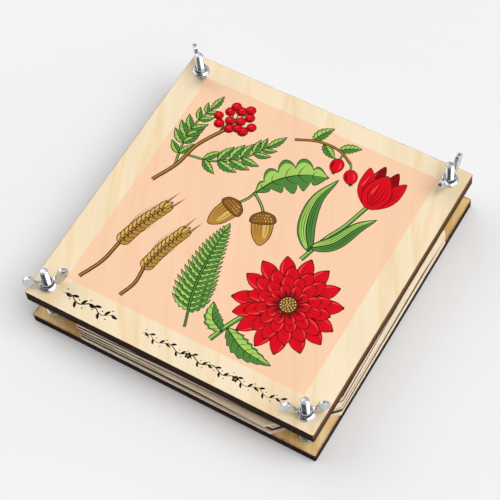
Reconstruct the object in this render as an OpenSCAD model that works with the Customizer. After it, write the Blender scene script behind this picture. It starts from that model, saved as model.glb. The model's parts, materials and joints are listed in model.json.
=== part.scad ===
// Flower press: two plywood boards drawn together by four countersunk bolts with wing nuts,
// round a stack of blotting papers and corrugated cards with cut corners.
// Millimetres. The origin is the centre of the bottom board's underside, and the front edge
// of the boards lies along X at the lowest Y.

/* [Boards] */
// Side of the two square boards
board_w = 180; // [170:1:220]
// Thickness of the bottom board
base_board_t = 6; // [5:0.5:9]
// Thickness of the top board
top_board_t = 8; // [6:0.5:11]
// Radius of the boards' upright corners
board_corner_r = 1; // [0.5:0.5:5]
// Distance from each bolt's axis to the two nearest board edges
bolt_inset = 9.5; // [8:0.5:12]
// Radial room round a bolt in the boards' holes
hole_play = 0.25; // [0.15:0.05:0.5]

/* [Bolts] */
// Outer diameter of the bolts' thread
bolt_d = 5; // [4:0.5:6]
// Length of the bolts, countersunk head included
bolt_len = 48; // [45:1:60]
// Diameter of the countersunk heads
bolt_head_d = 9.2; // [8:0.1:11]
// Height of the straight rim below each head's cone
bolt_head_rim = 0.3; // [0.2:0.1:0.6]
// Depth of the heads below the bottom board's underside
bolt_head_sink = 0.2; // [0:0.1:0.4]
// Length of each arm pair of the cross recess in a head
recess_l = 5; // [3:0.5:6]
// Width of the cross recess's arms
recess_w = 1.2; // [0.8:0.1:1.6]
// Depth of the cross recess
recess_depth = 1.8; // [1:0.1:2.2]
// Chamfer at the bolts' tips
bolt_tip_chamfer = 0.6; // [0.3:0.1:1]

/* [Washers and lock nuts] */
// Outer diameter of the flat washers
washer_d = 10; // [9:0.5:11]
// Thickness of the flat washers
washer_t = 1; // [0.8:0.1:1.4]
// Radial room round a bolt in the washers
washer_play = 0.1; // [0.05:0.05:0.2]
// Radial room between a bolt and a nut's bore
nut_play = 0.05; // [0.02:0.01:0.1]
// Width across the flats of the lock nuts
lock_nut_af = 8; // [7:0.5:9]
// Height of the lock nuts
lock_nut_h = 4; // [2.5:0.1:4.5]
// Chamfer at the lock nuts' six corners
lock_nut_chamfer = 0.35; // [0.2:0.05:0.5]

/* [Wing nuts] */
// Diameter of the wing nuts' seat
wing_base_d = 9.6; // [8.5:0.1:10.5]
// Thickness of the flange at the seat
wing_base_rim = 0.9; // [0.6:0.1:1.6]
// Diameter of the barrels above the flange
wing_boss_d = 7.8; // [7:0.1:8.2]
// Height of a barrel
wing_barrel_h = 4.2; // [4:0.1:5.5]
// Distance from wing tip to wing tip
wing_span = 25.6; // [24:0.1:28]
// Height from the seat to the top of the wings
wing_h = 11.6; // [10.5:0.1:14]
// Diameter of each wing's round lobe
wing_lobe_d = 7.2; // [6.4:0.1:8.4]
// Thickness of the wings
wing_t = 2.2; // [1.8:0.1:2.6]

/* [Sheets] */
// Distance from the edge of a centred sheet to the boards' edge
sheet_margin = 2.5; // [1:0.5:4]
// Gap from a washer to the cut corner of a centred sheet
sheet_clear = 4.5; // [4:0.25:8]
// Thickness of a blotting paper
blotter_t = 1.2; // [0.8:0.1:1.6]
// Thickness of a corrugated card
card_t = 1.5; // [1.2:0.1:2]
// Thickness of a card's two outer papers
card_liner_t = 0.25; // [0.2:0.05:0.35]
// Thickness of the waved paper inside a card
flute_paper_t = 0.2; // [0.15:0.05:0.3]
// Distance from one wave to the next inside a card
flute_pitch = 3; // [2.5:0.5:7]

/* [Hidden] */

// Corner numbers, counted from the front left towards the right
FRONT_LEFT = 0;
FRONT_RIGHT = 1;
BACK_RIGHT = 2;
BACK_LEFT = 3;

// Which side of the centre each corner lies on
corner_shares = [[-1, -1], [1, -1], [1, 1], [-1, 1]];
// Turn of each wing nut about its bolt, in degrees from X
wing_turns = [44, 31, 89, 136];

// The stack repeats two blotting papers and a card, and ends with two blotting papers.
stack_period = 3;
blotter_count = 10;
card_count = 4;
// Shift of each sheet as the stack was laid, in shares of the margin, from the bottom up
lay_shares = [
    [1.1, -1.0], [1.0, -1.0], [0.9, -0.65], [0.8, -0.5], [0.9, -0.55], [0.7, -0.6], [0.9, -0.75],
    [0.9, -1.05], [0.3, -0.4], [0.35, -0.5], [0.3, -0.4], [0.15, -0.4], [0.3, -0.5], [0.4, -0.55]
];
// Turn of each sheet about its centre in degrees, from the bottom up
lay_turns = [0, -0.2, 0.4, 0.6, 0.5, 0.7, 0.3, -1.3, 1.5, 1.3, 1.5, 1.6, 1.2, 1.0];

bolt_reach = board_w / 2 - bolt_inset;
sheet_w = board_w - 2 * sheet_margin;
// A centred sheet's cut clears the washers by sheet_clear, measured along the diagonal.
corner_cut = sqrt(2) * (washer_d / 2 + sheet_clear) + 2 * (bolt_inset - sheet_margin);
stack_h = blotter_count * blotter_t + card_count * card_t;
top_board_z = base_board_t + stack_h;
washer_z = top_board_z + top_board_t;
wing_nut_z = washer_z + washer_t;
lock_nut_z = base_board_t + washer_t;
bolt_head_h = bolt_head_rim + (bolt_head_d - bolt_d) / 2;
// Room round a head's cone in its countersink
head_play = 0.05;
// Cuts run past the faces they open by this much.
overrun = 0.5;
// The waved paper is sunk into the outer papers by this much, as if glued.
glue_depth = 0.05;
// Shares of one wave: rising flank, crest, falling flank, trough
flute_shares = [0.32, 0.18, 0.32, 0.18];
// Angles on a wing's lobe where its lower and inner edges leave it
lobe_low_angle = -50;
lobe_in_angle = 170;
// Facets on curves
$fn = 48;

function height_below(i) =
    let (cards = floor(i / stack_period))
    cards * card_t + (i - cards) * blotter_t;

// Places its children at the axis of one bolt.
module at_corner(corner) {
    translate([corner_shares[corner].x * bolt_reach, corner_shares[corner].y * bolt_reach, 0])
        children();
}

module rounded_square(side, r) {
    inner = side - 2 * r;
    square([side, inner], center = true);
    square([inner, side], center = true);
    for (share = corner_shares)
        translate(share * inner / 2)
            circle(r = r);
}

module board(t) {
    difference() {
        linear_extrude(t)
            rounded_square(board_w, board_corner_r);
        for (corner = [FRONT_LEFT : BACK_LEFT])
            at_corner(corner)
                translate([0, 0, -overrun])
                    cylinder(r = bolt_d / 2 + hole_play, h = t + 2 * overrun);
    }
}

// Countersink for a bolt's head, opening downwards
module countersink() {
    mouth_r = bolt_head_d / 2 + head_play;
    throat_r = bolt_d / 2 + head_play;
    rim_z = bolt_head_sink + bolt_head_rim;
    rotate_extrude()
        polygon([
            [0, -overrun], [mouth_r, -overrun], [mouth_r, rim_z],
            [throat_r, rim_z + mouth_r - throat_r], [0, rim_z + mouth_r - throat_r]
        ]);
}

module bottom_board() {
    color("burlywood")
        difference() {
            board(base_board_t);
            for (corner = [FRONT_LEFT : BACK_LEFT])
                at_corner(corner)
                    countersink();
        }
}

module top_board() {
    color("wheat")
        translate([0, 0, top_board_z])
            board(top_board_t);
}

// Countersunk bolt that stands in the bottom board with its head down
module bolt(corner) {
    color("silver")
        at_corner(corner)
            translate([0, 0, bolt_head_sink])
                difference() {
                    rotate_extrude()
                        polygon([
                            [0, 0], [bolt_head_d / 2, 0], [bolt_head_d / 2, bolt_head_rim],
                            [bolt_d / 2, bolt_head_h], [bolt_d / 2, bolt_len - bolt_tip_chamfer],
                            [bolt_d / 2 - bolt_tip_chamfer, bolt_len], [0, bolt_len]
                        ]);
                    for (angle = [0, 90])
                        rotate([0, 0, angle])
                            translate([0, 0, (recess_depth - overrun) / 2])
                                cube([recess_l, recess_w, recess_depth + overrun], center = true);
                }
}

module flat_washer() {
    difference() {
        cylinder(d = washer_d, h = washer_t);
        translate([0, 0, -overrun])
            cylinder(r = bolt_d / 2 + washer_play, h = washer_t + 2 * overrun);
    }
}

// Washer between the bottom board and a lock nut
module base_washer(corner) {
    color("gainsboro")
        at_corner(corner)
            translate([0, 0, base_board_t])
                flat_washer();
}

// Washer between the top board and a wing nut
module washer(corner) {
    color("gainsboro")
        at_corner(corner)
            translate([0, 0, washer_z])
                flat_washer();
}

// Hex nut that clamps a bolt to the bottom board
module lock_nut(corner) {
    across_corners = lock_nut_af / cos(30);
    color("silver")
        at_corner(corner)
            translate([0, 0, lock_nut_z])
                difference() {
                    intersection() {
                        cylinder(d = across_corners, h = lock_nut_h, $fn = 6);
                        rotate_extrude()
                            polygon([
                                [0, 0], [across_corners / 2 - lock_nut_chamfer, 0],
                                [across_corners / 2, lock_nut_chamfer],
                                [across_corners / 2, lock_nut_h - lock_nut_chamfer],
                                [across_corners / 2 - lock_nut_chamfer, lock_nut_h], [0, lock_nut_h]
                            ]);
                    }
                    translate([0, 0, -overrun])
                        cylinder(r = bolt_d / 2 + nut_play, h = lock_nut_h + 2 * overrun);
                }
}

// Outline of one wing, from the barrel's axis out to its round lobe
module wing_outline() {
    lobe_r = wing_lobe_d / 2;
    lobe = [wing_span / 2 - lobe_r, wing_h - lobe_r];
    translate(lobe)
        circle(r = lobe_r);
    polygon([
        [0, wing_base_rim],
        [wing_boss_d / 2, wing_base_rim],
        lobe + lobe_r * [cos(lobe_low_angle), sin(lobe_low_angle)],
        lobe,
        lobe + lobe_r * [cos(lobe_in_angle), sin(lobe_in_angle)],
        [wing_boss_d / 2 - wing_t / 4, wing_barrel_h],
        [0, wing_barrel_h]
    ]);
}

module wing_nut(corner) {
    color("whitesmoke")
        at_corner(corner)
            translate([0, 0, wing_nut_z])
                rotate([0, 0, wing_turns[corner]])
                    difference() {
                        union() {
                            rotate_extrude()
                                polygon([
                                    [0, 0], [wing_base_d / 2, 0], [wing_base_d / 2, wing_base_rim],
                                    [wing_boss_d / 2, wing_base_rim], [wing_boss_d / 2, wing_barrel_h],
                                    [0, wing_barrel_h]
                                ]);
                            for (side = [0, 180])
                                rotate([90, 0, side])
                                    linear_extrude(wing_t, center = true)
                                        wing_outline();
                        }
                        translate([0, 0, -overrun])
                            cylinder(r = bolt_d / 2 + nut_play, h = wing_h);
                    }
}

// Square outline of a sheet with its four corners cut for the bolts
module sheet_outline() {
    half = sheet_w / 2;
    flat = half - corner_cut;
    polygon([
        [-flat, -half], [flat, -half], [half, -flat], [half, flat],
        [flat, half], [-flat, half], [-half, flat], [-half, -flat]
    ]);
}

// Lays its children at the place of sheet i of the stack.
module in_stack(i) {
    translate([lay_shares[i].x * sheet_margin, lay_shares[i].y * sheet_margin, base_board_t + height_below(i)])
        rotate([0, 0, lay_turns[i]])
            children();
}

module blotter(i) {
    color("ivory")
        in_stack(i)
            linear_extrude(blotter_t)
                sheet_outline();
}

// One wave of the card's inner paper, as a strip from its middle line down or up
function wave_points(start, low, high, lift) = [
    [start, low + lift],
    [start + flute_shares[0] * flute_pitch, high + lift],
    [start + (flute_shares[0] + flute_shares[1]) * flute_pitch, high + lift],
    [start + (flute_shares[0] + flute_shares[1] + flute_shares[2]) * flute_pitch, low + lift]
];

// Section of the waved paper between a card's outer papers
module flute_section() {
    waves = ceil(sheet_w / flute_pitch);
    low = card_liner_t - glue_depth;
    high = card_t - card_liner_t + glue_depth - flute_paper_t;
    starts = [for (k = [0 : waves - 1]) (k - waves / 2) * flute_pitch];
    under = [for (start = starts) each wave_points(start, low, high, 0)];
    over = [for (start = starts) each wave_points(start, low, high, flute_paper_t)];
    count = len(over);
    polygon(concat(under, [for (k = [0 : count - 1]) over[count - 1 - k]]));
}

// Corrugated card whose waves run from the front edge to the back edge
module card(i) {
    color("tan")
        in_stack(i)
            intersection() {
                linear_extrude(card_t)
                    sheet_outline();
                union() {
                    translate([0, 0, card_liner_t / 2])
                        cube([sheet_w + overrun, sheet_w + overrun, card_liner_t], center = true);
                    translate([0, 0, card_t - card_liner_t / 2])
                        cube([sheet_w + overrun, sheet_w + overrun, card_liner_t], center = true);
                    rotate([90, 0, 0])
                        linear_extrude(sheet_w + overrun, center = true)
                            flute_section();
                }
            }
}

bottom_board();
top_board();
bolt(FRONT_LEFT);  // bolt_front_left
bolt(FRONT_RIGHT);  // bolt_front_right
bolt(BACK_RIGHT);  // bolt_back_right
bolt(BACK_LEFT);  // bolt_back_left
base_washer(FRONT_LEFT);  // base_washer_front_left
base_washer(FRONT_RIGHT);  // base_washer_front_right
base_washer(BACK_RIGHT);  // base_washer_back_right
base_washer(BACK_LEFT);  // base_washer_back_left
lock_nut(FRONT_LEFT);  // lock_nut_front_left
lock_nut(FRONT_RIGHT);  // lock_nut_front_right
lock_nut(BACK_RIGHT);  // lock_nut_back_right
lock_nut(BACK_LEFT);  // lock_nut_back_left
washer(FRONT_LEFT);  // washer_front_left
washer(FRONT_RIGHT);  // washer_front_right
washer(BACK_RIGHT);  // washer_back_right
washer(BACK_LEFT);  // washer_back_left
wing_nut(FRONT_LEFT);  // wing_nut_front_left
wing_nut(FRONT_RIGHT);  // wing_nut_front_right
wing_nut(BACK_RIGHT);  // wing_nut_back_right
wing_nut(BACK_LEFT);  // wing_nut_back_left
blotter(0);  // blotter_01
blotter(1);  // blotter_02
card(2);  // card_1
blotter(3);  // blotter_03
blotter(4);  // blotter_04
card(5);  // card_2
blotter(6);  // blotter_05
blotter(7);  // blotter_06
card(8);  // card_3
blotter(9);  // blotter_07
blotter(10);  // blotter_08
card(11);  // card_4
blotter(12);  // blotter_09
blotter(13);  // blotter_10
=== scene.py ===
import cmath
import json
from math import ceil, copysign, cos, degrees, dist, log, pi, radians, sin

import bmesh
import bpy
from mathutils import Matrix, Vector, noise
from mathutils.geometry import convex_hull_2d, delaunay_2d_cdt

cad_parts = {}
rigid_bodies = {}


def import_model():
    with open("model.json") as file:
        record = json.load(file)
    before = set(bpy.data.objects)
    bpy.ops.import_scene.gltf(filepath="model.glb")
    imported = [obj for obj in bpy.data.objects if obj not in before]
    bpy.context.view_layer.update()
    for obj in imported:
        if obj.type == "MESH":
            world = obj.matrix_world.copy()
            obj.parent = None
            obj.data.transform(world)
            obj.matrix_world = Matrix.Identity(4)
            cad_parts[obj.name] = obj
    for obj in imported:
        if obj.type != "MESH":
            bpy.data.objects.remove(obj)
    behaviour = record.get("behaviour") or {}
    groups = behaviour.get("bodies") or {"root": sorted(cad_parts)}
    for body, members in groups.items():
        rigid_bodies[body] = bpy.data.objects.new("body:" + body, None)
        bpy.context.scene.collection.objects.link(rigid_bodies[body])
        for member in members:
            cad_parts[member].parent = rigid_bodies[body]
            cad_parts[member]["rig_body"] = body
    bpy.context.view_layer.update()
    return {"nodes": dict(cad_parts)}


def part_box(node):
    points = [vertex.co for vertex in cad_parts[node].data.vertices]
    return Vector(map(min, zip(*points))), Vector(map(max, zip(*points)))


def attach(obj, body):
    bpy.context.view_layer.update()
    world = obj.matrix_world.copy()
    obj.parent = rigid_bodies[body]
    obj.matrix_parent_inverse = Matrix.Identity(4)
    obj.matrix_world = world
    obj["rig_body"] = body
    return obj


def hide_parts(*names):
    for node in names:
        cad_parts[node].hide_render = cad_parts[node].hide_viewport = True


# Looks of a flower press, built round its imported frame.
# Sizes are in millimetres and become metres where a mesh is made.
MM = 0.001
CORNERS = ("front_left", "front_right", "back_right", "back_left")
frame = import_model()


def srgb(*levels):
    """Linear colour from one written on a scale of 255."""
    shares = [c / 255 for c in levels]
    return tuple(c / 12.92 if c <= 0.04045 else ((c + 0.055) / 1.055) ** 2.4 for c in shares) + (1.0,)


def box_mm(node):
    low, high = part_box(node)
    return low / MM, high / MM


def axis_of(node):
    low, high = box_mm(node)
    return ((low.x + high.x) / 2, (low.y + high.y) / 2)


def add_object(name, data):
    made = bpy.data.objects.new(name, data)
    bpy.context.scene.collection.objects.link(made)
    return made


class Nodes:
    """A node tree, with short calls for its nodes."""

    def __init__(self, tree):
        self.nodes, self.links = tree.nodes, tree.links

    def put(self, socket, value):
        if isinstance(value, bpy.types.NodeSocket):
            self.links.new(value, socket)
        else:
            socket.default_value = value

    def add(self, kind, inputs=None, **settings):
        node = self.nodes.new("ShaderNode" + kind)
        for key, value in settings.items():
            setattr(node, key, value)
        for key, value in (inputs or {}).items():
            self.put(node.inputs[key], value)
        return node

    def math(self, operation, one, other=0.0):
        return self.add("Math", {0: one, 1: other}, operation=operation).outputs[0]


class Shader(Nodes):
    """A material on Principled BSDF, with short calls for its textures."""

    def __init__(self, name, **settings):
        self.material = bpy.data.materials.new(name)
        self.material.use_nodes = True
        super().__init__(self.material.node_tree)
        self.surface = self.nodes["Principled BSDF"].inputs
        self.place = self.add("TexCoord").outputs["Object"]
        self.set(**settings)

    def set(self, **settings):
        """Values or links for the surface's sockets, by name."""
        for key, value in settings.items():
            self.put(self.surface[key.replace("_", " ")], value)

    def noise(self, size_mm, turn_deg=0.0, detail=3.0, roughness=0.55, distortion=0.0):
        """Noise as large as size_mm along each axis, after a turn about Z."""
        turned = self.add("VectorRotate", {"Vector": self.place, "Angle": radians(-turn_deg)},
                          rotation_type="Z_AXIS").outputs["Vector"]
        scale = tuple(1 / (s * MM) for s in size_mm)
        place = self.add("VectorMath", {0: turned, 1: scale}, operation="MULTIPLY").outputs[0]
        inputs = {"Vector": place, "Scale": 1.0, "Detail": detail, "Roughness": roughness, "Distortion": distortion}
        return self.add("TexNoise", inputs).outputs[0]

    def ramp(self, fac, *stops):
        """Value or colour that goes through (place, grey or colour) stops."""
        node = self.add("ValToRGB", {"Fac": fac})
        elements = node.color_ramp.elements
        while len(elements) < len(stops):
            elements.new(0.5)
        for element, (place, colour) in zip(elements, stops):
            element.position = place
            element.color = colour if isinstance(colour, tuple) else (colour, colour, colour, 1.0)
        return node.outputs["Color"]

    def mix(self, fac, one, other, blend="MIX"):
        return self.add("Mix", {0: fac, 6: one, 7: other}, data_type="RGBA", blend_type=blend).outputs[2]

    def times(self, one, other):
        return self.mix(1.0, one, other, "MULTIPLY")

    def axes(self):
        """Object coordinates as three values, in metres."""
        return self.add("SeparateXYZ", {0: self.place}).outputs

    def between(self, length, low_mm, high_mm):
        """Share that a length in metres has gone from one place to another."""
        return self.math("DIVIDE", self.math("SUBTRACT", length, low_mm * MM), (high_mm - low_mm) * MM)

    def finish(self, colour, height, distance_mm, strength, **settings):
        """Give the surface its colour and a bump. Returns the material."""
        bump = self.add("Bump", {"Height": height, "Distance": distance_mm * MM, "Strength": strength})
        self.set(Base_Color=colour, Normal=bump.outputs[0], **settings)
        return self.material


# Camera, floor and light
CAMERA_LENS = 129.856
CAMERA_PLACE = (0.310325, -0.408480, 0.875351)
CAMERA_RIGHT = Vector((0.860301, 0.504595, -0.072562))
CAMERA_BACK = Vector((0.310785, -0.406304, 0.859261))
FLOOR_HALF = 4.0


def add_camera():
    data = bpy.data.cameras.new("camera")
    data.sensor_width = 36.0
    data.lens = CAMERA_LENS
    camera = add_object("camera", data)
    turn = Matrix((CAMERA_RIGHT, CAMERA_BACK.cross(CAMERA_RIGHT), CAMERA_BACK)).transposed()
    camera.matrix_world = Matrix.Translation(CAMERA_PLACE) @ turn.to_4x4()
    bpy.context.scene.camera = camera
    bpy.context.scene.view_settings.view_transform = "Standard"


def add_floor():
    shader = Shader("floor", Roughness=0.9, Specular_IOR_Level=0.1)
    cloud = shader.noise((400, 400, 400), detail=1.0)
    shader.set(Base_Color=shader.ramp(cloud, (0.3, srgb(240, 239, 239)), (0.7, srgb(243, 242, 242))))
    mesh = bpy.data.meshes.new("floor")
    corners = [(x * FLOOR_HALF, y * FLOOR_HALF, 0) for x, y in ((-1, -1), (1, -1), (1, 1), (-1, 1))]
    mesh.from_pydata(corners, [], [(0, 1, 2, 3)])
    mesh.materials.append(shader.material)
    add_object("floor", mesh)


# Round soft lights far off: azimuth, elevation, where full and where ended in degrees off the middle, level
SOFT_LIGHTS = ((8, 60, 18, 31, 3.1), (170, 47, 12, 40, 1.64), (35, 11, 34, 99, 0.56))
ROOM_LEVEL = 0.04
# Horizon: where full and where ended in degrees off straight down, level
HORIZON = (101, 107, 0.88)


def heading(azimuth_deg, elevation_deg):
    """Direction with azimuth counted from X towards Y."""
    azimuth, elevation = radians(azimuth_deg), radians(elevation_deg)
    return Vector((cos(azimuth) * cos(elevation), sin(azimuth) * cos(elevation), sin(elevation)))


def add_world():
    """A dim room with soft lights, and a pale horizon that is only seen."""
    world = bpy.data.worlds.new("world")
    world.use_nodes = True
    bpy.context.scene.world = world
    tree = Nodes(world.node_tree)
    way = tree.add("TexCoord").outputs["Generated"]

    def faded(direction, full, ended, level):
        """Level round a direction, less as the angle off it grows."""
        dot = tree.add("VectorMath", {0: way, 1: direction}, operation="DOT_PRODUCT").outputs["Value"]
        return tree.add("MapRange", {
            "Value": dot, "From Min": cos(radians(ended)), "From Max": cos(radians(full)),
            "To Min": 0.0, "To Max": level}, interpolation_type="SMOOTHSTEP").outputs["Result"]

    total = ROOM_LEVEL
    for azimuth, elevation, full, ended, level in SOFT_LIGHTS:
        total = tree.math("ADD", faded(heading(azimuth, elevation), full, ended, level), total)
    path = tree.add("LightPath").outputs
    seen = tree.math("MAXIMUM", path["Is Camera Ray"], path["Is Glossy Ray"])
    seen = tree.math("MAXIMUM", seen, path["Is Transmission Ray"])
    horizon = tree.math("MULTIPLY", faded((0, 0, -1), *HORIZON), seen)
    sky = tree.nodes["Background"].inputs
    tree.put(sky["Color"], (0.99, 1.0, 1.013, 1.0))
    tree.put(sky["Strength"], tree.math("MAXIMUM", total, horizon))


# Meshes
def add_piece(name, mesh, body, node):
    """Show a mesh in place of a solid."""
    piece = add_object(name, mesh)
    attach(piece, body)
    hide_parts(node)


class Form:
    """Vertices in millimetres and faces with material numbers, made of parts."""

    def __init__(self):
        self.verts, self.faces, self.numbers = [], [], []

    def add(self, verts, faces, number=0):
        """Add faces with one material number, or with a list of them."""
        base = len(self.verts)
        self.verts += [tuple(v) for v in verts]
        self.faces += [tuple(base + i for i in face) for face in faces]
        self.numbers += number if isinstance(number, list) else [number] * len(faces)

    def loft(self, rings, number=0, ends=(False, False)):
        """Skin through rings of equal length, with flat faces at its ends where asked."""
        count, last = len(rings[0]), (len(rings) - 1) * len(rings[0])
        faces = [(row + k, row + (k + 1) % count, row + count + (k + 1) % count, row + count + k)
                 for row in range(0, last, count) for k in range(count)]
        if ends[0]:
            faces.append(tuple(reversed(range(count))))
        if ends[1]:
            faces.append(tuple(range(last, last + count)))
        self.add([p for ring in rings for p in ring], faces, number)

    def flat(self, outer, holes):
        """Flat triangles between an outer ring and its holes."""
        places, triangles = triangulated([outer, *holes])
        self.add([(*place, outer[0][2]) for place in places], [t for t, owner in triangles if owner == [0]])

    def mesh(self, name, materials, sharp_deg=35):
        mesh = bpy.data.meshes.new(name)
        mesh.from_pydata([tuple(c * MM for c in v) for v in self.verts], [], self.faces)
        for material in materials:
            mesh.materials.append(material)
        mesh.polygons.foreach_set("material_index", self.numbers)
        work = bmesh.new()
        work.from_mesh(mesh)
        bmesh.ops.remove_doubles(work, verts=work.verts, dist=1e-6)
        bmesh.ops.recalc_face_normals(work, faces=work.faces)
        work.to_mesh(mesh)
        work.free()
        mesh.shade_smooth()
        mesh.set_sharp_from_angle(angle=radians(sharp_deg))
        return mesh

    def piece(self, name, materials, body, slot, node, sharp_deg=35):
        add_piece(name, self.mesh(name, materials, sharp_deg), body, node)


def area(ring):
    """Twice the area of a ring, negative where it runs clockwise."""
    return sum(a[0] * b[1] - b[0] * a[1] for a, b in zip(ring, [*ring[1:], ring[0]]))


def triangulated(rings, nearness=1e-6):
    """Points, and triangles with the numbers of the rings that they lie in."""
    points, loops = [], []
    for ring in rings:
        loop = list(range(len(points), len(points) + len(ring)))
        points += [Vector(p[:2]) for p in ring]
        loops.append(loop if area(ring) > 0 else loop[::-1])
    places, _, triangles, _, _, owners = delaunay_2d_cdt(points, [], loops, 1, nearness)
    return places, list(zip(triangles, owners))


def around(centre, radius, angle, z):
    return (centre[0] + radius * cos(angle), centre[1] + radius * sin(angle), z)


def circle(centre, radius, z, count):
    return [around(centre, radius, 2 * pi * k / count, z) for k in range(count)]


def divided(corners, step):
    """Points along a closed line of corners, no more than a step apart."""
    points = []
    for k, corner in enumerate(corners):
        after = corners[(k + 1) % len(corners)]
        count = max(1, ceil(dist(corner, after) / step))
        points += [tuple(a + (b - a) * j / count for a, b in zip(corner, after)) for j in range(count)]
    return points


def rounded_square(half, radius, z):
    inner = half - radius
    corners = [around((x * inner, y * inner), radius, pi / 2 * (quarter + k / ARC_STEPS), z)
               for quarter, (x, y) in enumerate([(1, 1), (-1, 1), (-1, -1), (1, -1)]) for k in range(ARC_STEPS + 1)]
    return divided(corners, SIDE_STEP)


def revolved(profile, count, centre=(0.0, 0.0)):
    """Rings of a profile of (radius, height) points."""
    return [circle(centre, radius, z, count) for radius, z in profile]


def looped(rings):
    return rings + rings[:1]


# Materials
GRAIN_TURN = 27.0
GRAIN_BUMP = (0.03, 0.35)


def veneer_colour(shader, light, dark, depth=1.0):
    """Rotary-cut birch: broad pale bands, fine pores and short flecks along the grain."""
    bands = shader.noise((9, 160, 60), GRAIN_TURN, detail=2.0, distortion=0.4)
    streaks = shader.noise((1.1, 45, 20), GRAIN_TURN, detail=4.0, roughness=0.62)
    flecks = shader.noise((0.22, 2.6, 2.0), GRAIN_TURN, detail=2.0)
    colour = shader.mix(shader.ramp(bands, (0.36, 0.0), (0.66, 1.0)), light, dark)
    colour = shader.times(colour, shader.ramp(streaks, (0.35, 1.0), (0.7, 1 - 0.04 * depth)))
    growth = shader.math("MULTIPLY", shader.noise((24, 190, 90), GRAIN_TURN, detail=1.5), 9.0)
    line = shader.ramp(shader.math("PINGPONG", growth, 1.0), (0.0, 0.75 * depth), (0.3, 0.0))
    colour = shader.mix(line, colour, shader.times(colour, (0.97, 0.87, 0.7, 1.0)))
    return shader.times(colour, shader.ramp(flecks, (0.58, 1.0), (0.72, 1 - 0.05 * depth))), streaks


def veneer(name, light, dark, scorch, scorch_mm, half, stain=0.0):
    """Birch face with golden stains, and brown heat marks along the cut edge."""
    shader = Shader(name, Roughness=0.52)
    colour, streaks = veneer_colour(shader, light, dark)
    if stain:
        cloud = shader.noise((4, 34, 16), GRAIN_TURN, roughness=0.6)
        golden = shader.times(colour, (0.84, 0.73, 0.5, 1.0))
        colour = shader.mix(shader.ramp(cloud, (0.4, 0.0), (0.7, stain)), colour, golden)
    x, y, _ = shader.axes()
    reach = shader.math("MAXIMUM", shader.math("ABSOLUTE", x), shader.math("ABSOLUTE", y))
    wobble = shader.math("MULTIPLY", shader.noise((7, 7, 7), roughness=0.7), 2.2)
    mark = shader.math("ADD", shader.between(reach, half, half + scorch_mm), wobble)
    colour = shader.mix(shader.ramp(mark, (0.0, 0.0), (1.0, 0.75)), colour, scorch)
    spots = shader.math("ADD", shader.noise((1.1, 1.1, 1.1), detail=2.0), shader.between(reach, half, half + 16))
    colour = shader.mix(shader.ramp(spots, (0.62, 0.0), (0.66, stain)), colour, srgb(70, 42, 24))
    return shader.finish(colour, streaks, *GRAIN_BUMP)


def printed_ink(name, colour):
    """Thin ink that lets the veneer's grain show a little."""
    shader = Shader(name, Roughness=0.5, Specular_IOR_Level=0.06)
    darker = tuple(c * 0.97 for c in colour[:3]) + (1.0,)
    return shader.finish(*veneer_colour(shader, colour, darker, 0.3), *GRAIN_BUMP)


def burnt_edge(name, plies, base_z, top_z, half, lit_right_colours):
    """Charred plywood edge. Painted light: the right side, where the key light falls, is painted lighter brown, from
    the first colour at its foot to the second at its top.
    """
    shader = Shader(name, Specular_IOR_Level=0.03)
    marks = shader.noise((0.35, 0.35, 9), roughness=0.6)
    blotch = shader.noise((6, 6, 3), detail=2.0)
    x, _, z = shader.axes()
    rise = shader.between(z, base_z, top_z)
    parity = shader.math("PINGPONG", shader.math("MULTIPLY", rise, float(plies)), 1.0)
    # Painted light: only the right side turns brown, lighter towards its top; the other sides keep the dark char.
    right = shader.math("GREATER_THAN", x, (half - BOARD_CORNER * 0.6) * MM)
    ply = shader.mix(right, srgb(54, 33, 27), shader.ramp(rise, (0.4, lit_right_colours[0]), (0.9, lit_right_colours[1])))
    for share in (shader.ramp(parity, (0.35, 0.66), (0.65, 1.0)), shader.ramp(marks, (0.35, 1.0), (0.75, 0.7)),
                  shader.ramp(blotch, (0.45, 1.0), (0.75, 0.75))):
        ply = shader.times(ply, share)
    return shader.finish(ply, marks, 0.08, 0.6, Roughness=shader.ramp(marks, (0.3, 0.5), (0.8, 0.75)))


def zinc(name, tint, roughness, wear, painted_barrel_shade=False):
    """Bright zinc plate with clouds and rubbed spots, and, where asked, painted shade: a dark band round the wing nuts'
    barrels.
    """
    shader = Shader(name, Metallic=1.0)
    cloud = shader.noise((2.4, 2.4, 2.4), detail=2.0, roughness=0.5)
    rub = shader.noise((5, 5, 5), roughness=0.7)
    darker = tuple(c * 0.82 for c in tint[:3]) + (1.0,)
    colour = shader.mix(shader.ramp(cloud, (0.35, 0.0), (0.75, 1.0)), tint, darker)
    if painted_barrel_shade:
        # Painted shade: the barrel wall above the seat is painted dark grey, standing for the shade under the wings.
        colour = shader.mix(painted_shade_band(shader), colour, srgb(74, 76, 80))
    rubbed = shader.ramp(rub, (0.35, roughness), (0.75, roughness + wear))
    return shader.finish(colour, cloud, 0.02, 0.25, Roughness=rubbed)


def painted_shade_band(shader):
    """Share from 0 to 1 of the painted shade band round each bolt, above the wing nuts' seats."""
    radius, low, high = PAINTED_BARREL_SHADE
    seat = box_mm("wing_nut_back_right")[0].z
    x, y, z = shader.axes()
    off = [shader.math("SUBTRACT", shader.math("ABSOLUTE", value), way * MM)
           for value, way in zip((x, y), axis_of("bolt_back_right"))]
    away = shader.math("SQRT", shader.math("ADD", *[shader.math("MULTIPLY", value, value) for value in off]))
    near = shader.math("LESS_THAN", away, radius * MM)
    band = shader.ramp(shader.between(z, seat + low, seat + high), (0.0, 0.0), (0.25, 1.0), (0.85, 1.0), (1.0, 0.0))
    return shader.math("MULTIPLY", near, band)


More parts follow.
